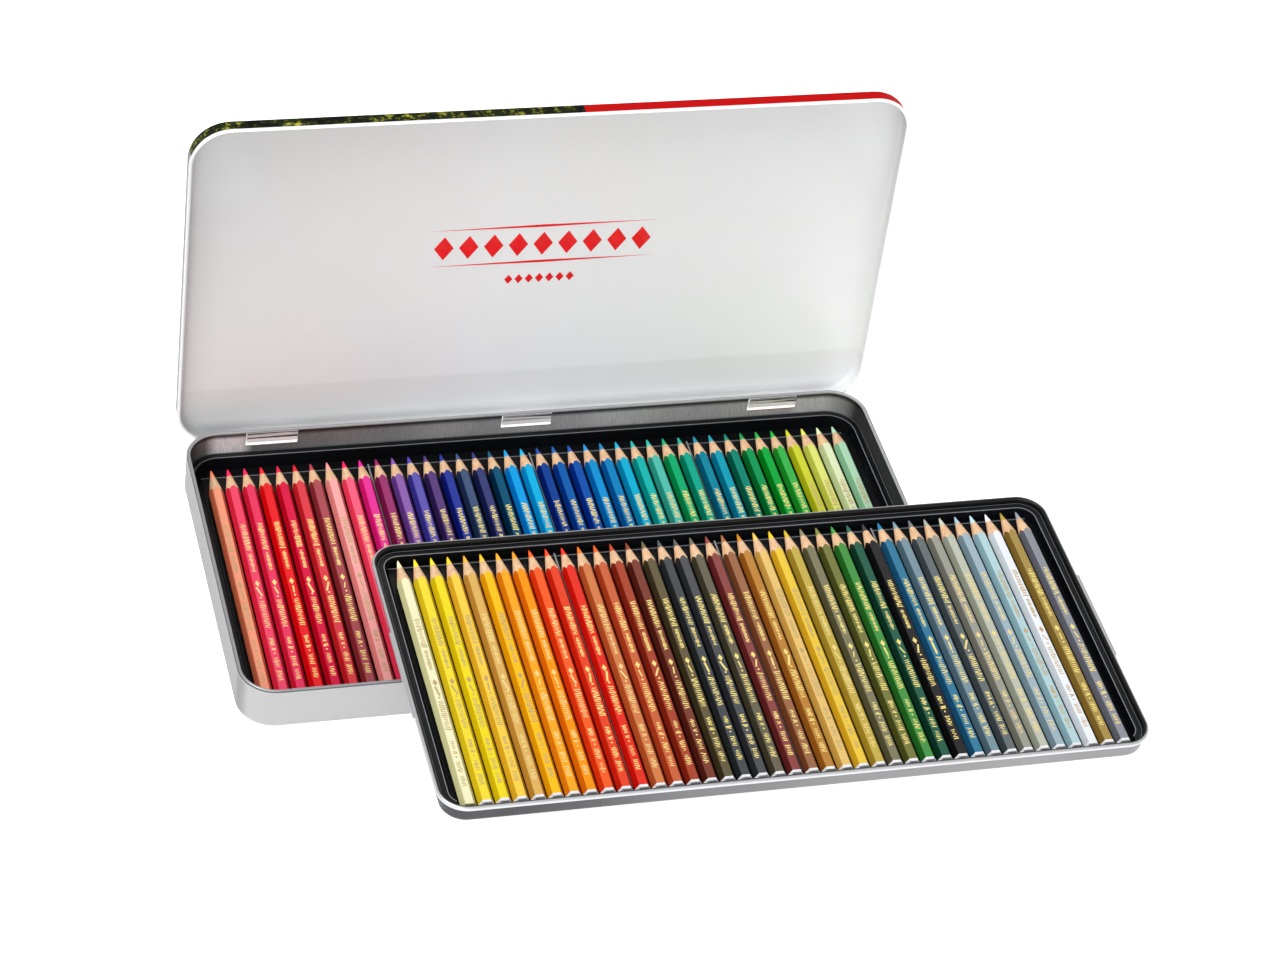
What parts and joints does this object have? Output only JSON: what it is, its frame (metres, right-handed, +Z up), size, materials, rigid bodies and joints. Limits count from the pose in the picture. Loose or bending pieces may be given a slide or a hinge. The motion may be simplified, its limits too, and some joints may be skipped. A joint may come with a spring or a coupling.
{
  "type": "colored pencil tin",
  "caption": "Flat hinged tin of colored pencils with black formed inserts, open, its lift-out upper tray set down across the front edge of the deep lower box.",
  "frame": {"origin": "centre of the lower box's underside, on the table", "axes": "+X to the right along the rows of pencils, +Y towards the hinge and the lid, +Z up"},
  "size_m": [0.4489, 0.3143, 0.217],
  "materials": {
    "base_box": "satin bare tinplate",
    "tray_pan": "satin bare tinplate",
    "lid_shell": "gloss enamel, white inside and printed outside",
    "base_insert": "black formed sheet, satin",
    "tray_insert": "black formed sheet, satin",
    "base_pencil_01": "gloss lacquer over cedar",
    "base_pencil_02": "gloss lacquer over cedar",
    "base_pencil_03": "gloss lacquer over cedar",
    "base_pencil_04": "gloss lacquer over cedar",
    "base_pencil_05": "gloss lacquer over cedar",
    "base_pencil_06": "gloss lacquer over cedar",
    "base_pencil_07": "gloss lacquer over cedar",
    "base_pencils_08_to_20": "gloss lacquer over cedar",
    "base_pencils_21_to_30": "gloss lacquer over cedar",
    "base_pencils_31_to_40": "gloss lacquer over cedar",
    "tray_pencil_01": "gloss lacquer over cedar",
    "tray_pencil_02": "gloss lacquer over cedar",
    "tray_pencil_03": "gloss lacquer over cedar",
    "tray_pencil_04": "gloss lacquer over cedar",
    "tray_pencil_05": "gloss lacquer over cedar",
    "tray_pencil_06": "gloss lacquer over cedar",
    "tray_pencil_07": "gloss lacquer over cedar",
    "tray_pencil_08": "gloss lacquer over cedar",
    "tray_pencil_09": "gloss lacquer over cedar",
    "tray_pencil_10": "gloss lacquer over cedar",
    "tray_pencil_11": "gloss lacquer over cedar",
    "tray_pencil_12": "gloss lacquer over cedar",
    "tray_pencil_13": "gloss lacquer over cedar",
    "tray_pencil_14": "gloss lacquer over cedar",
    "tray_pencil_15": "gloss lacquer over cedar",
    "tray_pencil_16": "gloss lacquer over cedar",
    "tray_pencil_17": "gloss lacquer over cedar",
    "tray_pencil_18": "gloss lacquer over cedar",
    "tray_pencil_19": "gloss lacquer over cedar",
    "tray_pencil_20": "gloss lacquer over cedar",
    "tray_pencil_21": "gloss lacquer over cedar",
    "tray_pencil_22": "gloss lacquer over cedar",
    "tray_pencil_23": "gloss lacquer over cedar",
    "tray_pencil_24": "gloss lacquer over cedar",
    "tray_pencil_25": "gloss lacquer over cedar",
    "tray_pencil_26": "gloss lacquer over cedar",
    "tray_pencil_27": "gloss lacquer over cedar",
    "tray_pencil_28": "gloss lacquer over cedar",
    "tray_pencil_29": "gloss lacquer over cedar",
    "tray_pencil_30": "gloss lacquer over cedar",
    "tray_pencil_31": "gloss lacquer over cedar",
    "tray_pencil_32": "gloss lacquer over cedar",
    "tray_pencil_33": "gloss lacquer over cedar",
    "tray_pencil_34": "gloss lacquer over cedar",
    "tray_pencil_35": "gloss lacquer over cedar",
    "tray_pencil_36": "gloss lacquer over cedar",
    "tray_pencil_37": "gloss lacquer over cedar",
    "tray_pencil_38": "gloss lacquer over cedar",
    "tray_pencil_39": "gloss lacquer over cedar",
    "tray_pencil_40": "gloss lacquer over cedar"
  },
  "bodies": {
    "base": {"base_box": "base_box", "base_insert": "base_insert", "base_pencils_08_to_20": "base_pencils_08_to_20", "base_pencils_21_to_30": "base_pencils_21_to_30", "base_pencils_31_to_40": "base_pencils_31_to_40"},
    "lid": {"lid_shell": "lid_shell"},
    "tray": {"tray_pan": "tray_pan", "tray_insert": "tray_insert"},
    "base_pencil_01": {"base_pencil_01": "base_pencil_01"},
    "base_pencil_02": {"base_pencil_02": "base_pencil_02"},
    "base_pencil_03": {"base_pencil_03": "base_pencil_03"},
    "base_pencil_04": {"base_pencil_04": "base_pencil_04"},
    "base_pencil_05": {"base_pencil_05": "base_pencil_05"},
    "base_pencil_06": {"base_pencil_06": "base_pencil_06"},
    "base_pencil_07": {"base_pencil_07": "base_pencil_07"},
    "tray_pencil_01": {"tray_pencil_01": "tray_pencil_01"},
    "tray_pencil_02": {"tray_pencil_02": "tray_pencil_02"},
    "tray_pencil_03": {"tray_pencil_03": "tray_pencil_03"},
    "tray_pencil_04": {"tray_pencil_04": "tray_pencil_04"},
    "tray_pencil_05": {"tray_pencil_05": "tray_pencil_05"},
    "tray_pencil_06": {"tray_pencil_06": "tray_pencil_06"},
    "tray_pencil_07": {"tray_pencil_07": "tray_pencil_07"},
    "tray_pencil_08": {"tray_pencil_08": "tray_pencil_08"},
    "tray_pencil_09": {"tray_pencil_09": "tray_pencil_09"},
    "tray_pencil_10": {"tray_pencil_10": "tray_pencil_10"},
    "tray_pencil_11": {"tray_pencil_11": "tray_pencil_11"},
    "tray_pencil_12": {"tray_pencil_12": "tray_pencil_12"},
    "tray_pencil_13": {"tray_pencil_13": "tray_pencil_13"},
    "tray_pencil_14": {"tray_pencil_14": "tray_pencil_14"},
    "tray_pencil_15": {"tray_pencil_15": "tray_pencil_15"},
    "tray_pencil_16": {"tray_pencil_16": "tray_pencil_16"},
    "tray_pencil_17": {"tray_pencil_17": "tray_pencil_17"},
    "tray_pencil_18": {"tray_pencil_18": "tray_pencil_18"},
    "tray_pencil_19": {"tray_pencil_19": "tray_pencil_19"},
    "tray_pencil_20": {"tray_pencil_20": "tray_pencil_20"},
    "tray_pencil_21": {"tray_pencil_21": "tray_pencil_21"},
    "tray_pencil_22": {"tray_pencil_22": "tray_pencil_22"},
    "tray_pencil_23": {"tray_pencil_23": "tray_pencil_23"},
    "tray_pencil_24": {"tray_pencil_24": "tray_pencil_24"},
    "tray_pencil_25": {"tray_pencil_25": "tray_pencil_25"},
    "tray_pencil_26": {"tray_pencil_26": "tray_pencil_26"},
    "tray_pencil_27": {"tray_pencil_27": "tray_pencil_27"},
    "tray_pencil_28": {"tray_pencil_28": "tray_pencil_28"},
    "tray_pencil_29": {"tray_pencil_29": "tray_pencil_29"},
    "tray_pencil_30": {"tray_pencil_30": "tray_pencil_30"},
    "tray_pencil_31": {"tray_pencil_31": "tray_pencil_31"},
    "tray_pencil_32": {"tray_pencil_32": "tray_pencil_32"},
    "tray_pencil_33": {"tray_pencil_33": "tray_pencil_33"},
    "tray_pencil_34": {"tray_pencil_34": "tray_pencil_34"},
    "tray_pencil_35": {"tray_pencil_35": "tray_pencil_35"},
    "tray_pencil_36": {"tray_pencil_36": "tray_pencil_36"},
    "tray_pencil_37": {"tray_pencil_37": "tray_pencil_37"},
    "tray_pencil_38": {"tray_pencil_38": "tray_pencil_38"},
    "tray_pencil_39": {"tray_pencil_39": "tray_pencil_39"},
    "tray_pencil_40": {"tray_pencil_40": "tray_pencil_40"}
  },
  "joints": [
    {"name": "lid_hinge", "type": "hinge", "parent": "base", "child": "lid", "pos_m": [0, 0.0997, 0.0169], "axis": [-1, 0, 0], "range_deg": [-80, 0]},
    {"name": "tray_lift", "type": "slide", "parent": "base", "child": "tray", "axis": [0, 0, 1], "range_m": [0, 0.12]},
    {"name": "base_pencil_01_lift", "type": "slide", "parent": "base", "child": "base_pencil_01", "axis": [0, 0, 1], "range_m": [0, 0.04]},
    {"name": "base_pencil_02_lift", "type": "slide", "parent": "base", "child": "base_pencil_02", "axis": [0, 0, 1], "range_m": [0, 0.04]},
    {"name": "base_pencil_03_lift", "type": "slide", "parent": "base", "child": "base_pencil_03", "axis": [0, 0, 1], "range_m": [0, 0.04]},
    {"name": "base_pencil_04_lift", "type": "slide", "parent": "base", "child": "base_pencil_04", "axis": [0, 0, 1], "range_m": [0, 0.04]},
    {"name": "base_pencil_05_lift", "type": "slide", "parent": "base", "child": "base_pencil_05", "axis": [0, 0, 1], "range_m": [0, 0.04]},
    {"name": "base_pencil_06_lift", "type": "slide", "parent": "base", "child": "base_pencil_06", "axis": [0, 0, 1], "range_m": [0, 0.04]},
    {"name": "base_pencil_07_lift", "type": "slide", "parent": "base", "child": "base_pencil_07", "axis": [0, 0, 1], "range_m": [0, 0.04]},
    {"name": "tray_pencil_01_lift", "type": "slide", "parent": "tray", "child": "tray_pencil_01", "axis": [0, 0, 1], "range_m": [0, 0.04]},
    {"name": "tray_pencil_02_lift", "type": "slide", "parent": "tray", "child": "tray_pencil_02", "axis": [0, 0, 1], "range_m": [0, 0.04]},
    {"name": "tray_pencil_03_lift", "type": "slide", "parent": "tray", "child": "tray_pencil_03", "axis": [0, 0, 1], "range_m": [0, 0.04]},
    {"name": "tray_pencil_04_lift", "type": "slide", "parent": "tray", "child": "tray_pencil_04", "axis": [0, 0, 1], "range_m": [0, 0.04]},
    {"name": "tray_pencil_05_lift", "type": "slide", "parent": "tray", "child": "tray_pencil_05", "axis": [0, 0, 1], "range_m": [0, 0.04]},
    {"name": "tray_pencil_06_lift", "type": "slide", "parent": "tray", "child": "tray_pencil_06", "axis": [0, 0, 1], "range_m": [0, 0.04]},
    {"name": "tray_pencil_07_lift", "type": "slide", "parent": "tray", "child": "tray_pencil_07", "axis": [0, 0, 1], "range_m": [0, 0.04]},
    {"name": "tray_pencil_08_lift", "type": "slide", "parent": "tray", "child": "tray_pencil_08", "axis": [0, 0, 1], "range_m": [0, 0.04]},
    {"name": "tray_pencil_09_lift", "type": "slide", "parent": "tray", "child": "tray_pencil_09", "axis": [0, 0, 1], "range_m": [0, 0.04]},
    {"name": "tray_pencil_10_lift", "type": "slide", "parent": "tray", "child": "tray_pencil_10", "axis": [0, 0, 1], "range_m": [0, 0.04]},
    {"name": "tray_pencil_11_lift", "type": "slide", "parent": "tray", "child": "tray_pencil_11", "axis": [0, 0, 1], "range_m": [0, 0.04]},
    {"name": "tray_pencil_12_lift", "type": "slide", "parent": "tray", "child": "tray_pencil_12", "axis": [0, 0, 1], "range_m": [0, 0.04]},
    {"name": "tray_pencil_13_lift", "type": "slide", "parent": "tray", "child": "tray_pencil_13", "axis": [0, 0, 1], "range_m": [0, 0.04]},
    {"name": "tray_pencil_14_lift", "type": "slide", "parent": "tray", "child": "tray_pencil_14", "axis": [0, 0, 1], "range_m": [0, 0.04]},
    {"name": "tray_pencil_15_lift", "type": "slide", "parent": "tray", "child": "tray_pencil_15", "axis": [0, 0, 1], "range_m": [0, 0.04]},
    {"name": "tray_pencil_16_lift", "type": "slide", "parent": "tray", "child": "tray_pencil_16", "axis": [0, 0, 1], "range_m": [0, 0.04]},
    {"name": "tray_pencil_17_lift", "type": "slide", "parent": "tray", "child": "tray_pencil_17", "axis": [0, 0, 1], "range_m": [0, 0.04]},
    {"name": "tray_pencil_18_lift", "type": "slide", "parent": "tray", "child": "tray_pencil_18", "axis": [0, 0, 1], "range_m": [0, 0.04]},
    {"name": "tray_pencil_19_lift", "type": "slide", "parent": "tray", "child": "tray_pencil_19", "axis": [0, 0, 1], "range_m": [0, 0.04]},
    {"name": "tray_pencil_20_lift", "type": "slide", "parent": "tray", "child": "tray_pencil_20", "axis": [0, 0, 1], "range_m": [0, 0.04]},
    {"name": "tray_pencil_21_lift", "type": "slide", "parent": "tray", "child": "tray_pencil_21", "axis": [0, 0, 1], "range_m": [0, 0.04]},
    {"name": "tray_pencil_22_lift", "type": "slide", "parent": "tray", "child": "tray_pencil_22", "axis": [0, 0, 1], "range_m": [0, 0.04]},
    {"name": "tray_pencil_23_lift", "type": "slide", "parent": "tray", "child": "tray_pencil_23", "axis": [0, 0, 1], "range_m": [0, 0.04]},
    {"name": "tray_pencil_24_lift", "type": "slide", "parent": "tray", "child": "tray_pencil_24", "axis": [0, 0, 1], "range_m": [0, 0.04]},
    {"name": "tray_pencil_25_lift", "type": "slide", "parent": "tray", "child": "tray_pencil_25", "axis": [0, 0, 1], "range_m": [0, 0.04]},
    {"name": "tray_pencil_26_lift", "type": "slide", "parent": "tray", "child": "tray_pencil_26", "axis": [0, 0, 1], "range_m": [0, 0.04]},
    {"name": "tray_pencil_27_lift", "type": "slide", "parent": "tray", "child": "tray_pencil_27", "axis": [0, 0, 1], "range_m": [0, 0.04]},
    {"name": "tray_pencil_28_lift", "type": "slide", "parent": "tray", "child": "tray_pencil_28", "axis": [0, 0, 1], "range_m": [0, 0.04]},
    {"name": "tray_pencil_29_lift", "type": "slide", "parent": "tray", "child": "tray_pencil_29", "axis": [0, 0, 1], "range_m": [0, 0.04]},
    {"name": "tray_pencil_30_lift", "type": "slide", "parent": "tray", "child": "tray_pencil_30", "axis": [0, 0, 1], "range_m": [0, 0.04]},
    {"name": "tray_pencil_31_lift", "type": "slide", "parent": "tray", "child": "tray_pencil_31", "axis": [0, 0, 1], "range_m": [0, 0.04]},
    {"name": "tray_pencil_32_lift", "type": "slide", "parent": "tray", "child": "tray_pencil_32", "axis": [0, 0, 1], "range_m": [0, 0.04]},
    {"name": "tray_pencil_33_lift", "type": "slide", "parent": "tray", "child": "tray_pencil_33", "axis": [0, 0, 1], "range_m": [0, 0.04]},
    {"name": "tray_pencil_34_lift", "type": "slide", "parent": "tray", "child": "tray_pencil_34", "axis": [0, 0, 1], "range_m": [0, 0.04]},
    {"name": "tray_pencil_35_lift", "type": "slide", "parent": "tray", "child": "tray_pencil_35", "axis": [0, 0, 1], "range_m": [0, 0.04]},
    {"name": "tray_pencil_36_lift", "type": "slide", "parent": "tray", "child": "tray_pencil_36", "axis": [0, 0, 1], "range_m": [0, 0.04]},
    {"name": "tray_pencil_37_lift", "type": "slide", "parent": "tray", "child": "tray_pencil_37", "axis": [0, 0, 1], "range_m": [0, 0.04]},
    {"name": "tray_pencil_38_lift", "type": "slide", "parent": "tray", "child": "tray_pencil_38", "axis": [0, 0, 1], "range_m": [0, 0.04]},
    {"name": "tray_pencil_39_lift", "type": "slide", "parent": "tray", "child": "tray_pencil_39", "axis": [0, 0, 1], "range_m": [0, 0.04]},
    {"name": "tray_pencil_40_lift", "type": "slide", "parent": "tray", "child": "tray_pencil_40", "axis": [0, 0, 1], "range_m": [0, 0.04]}
  ]
}
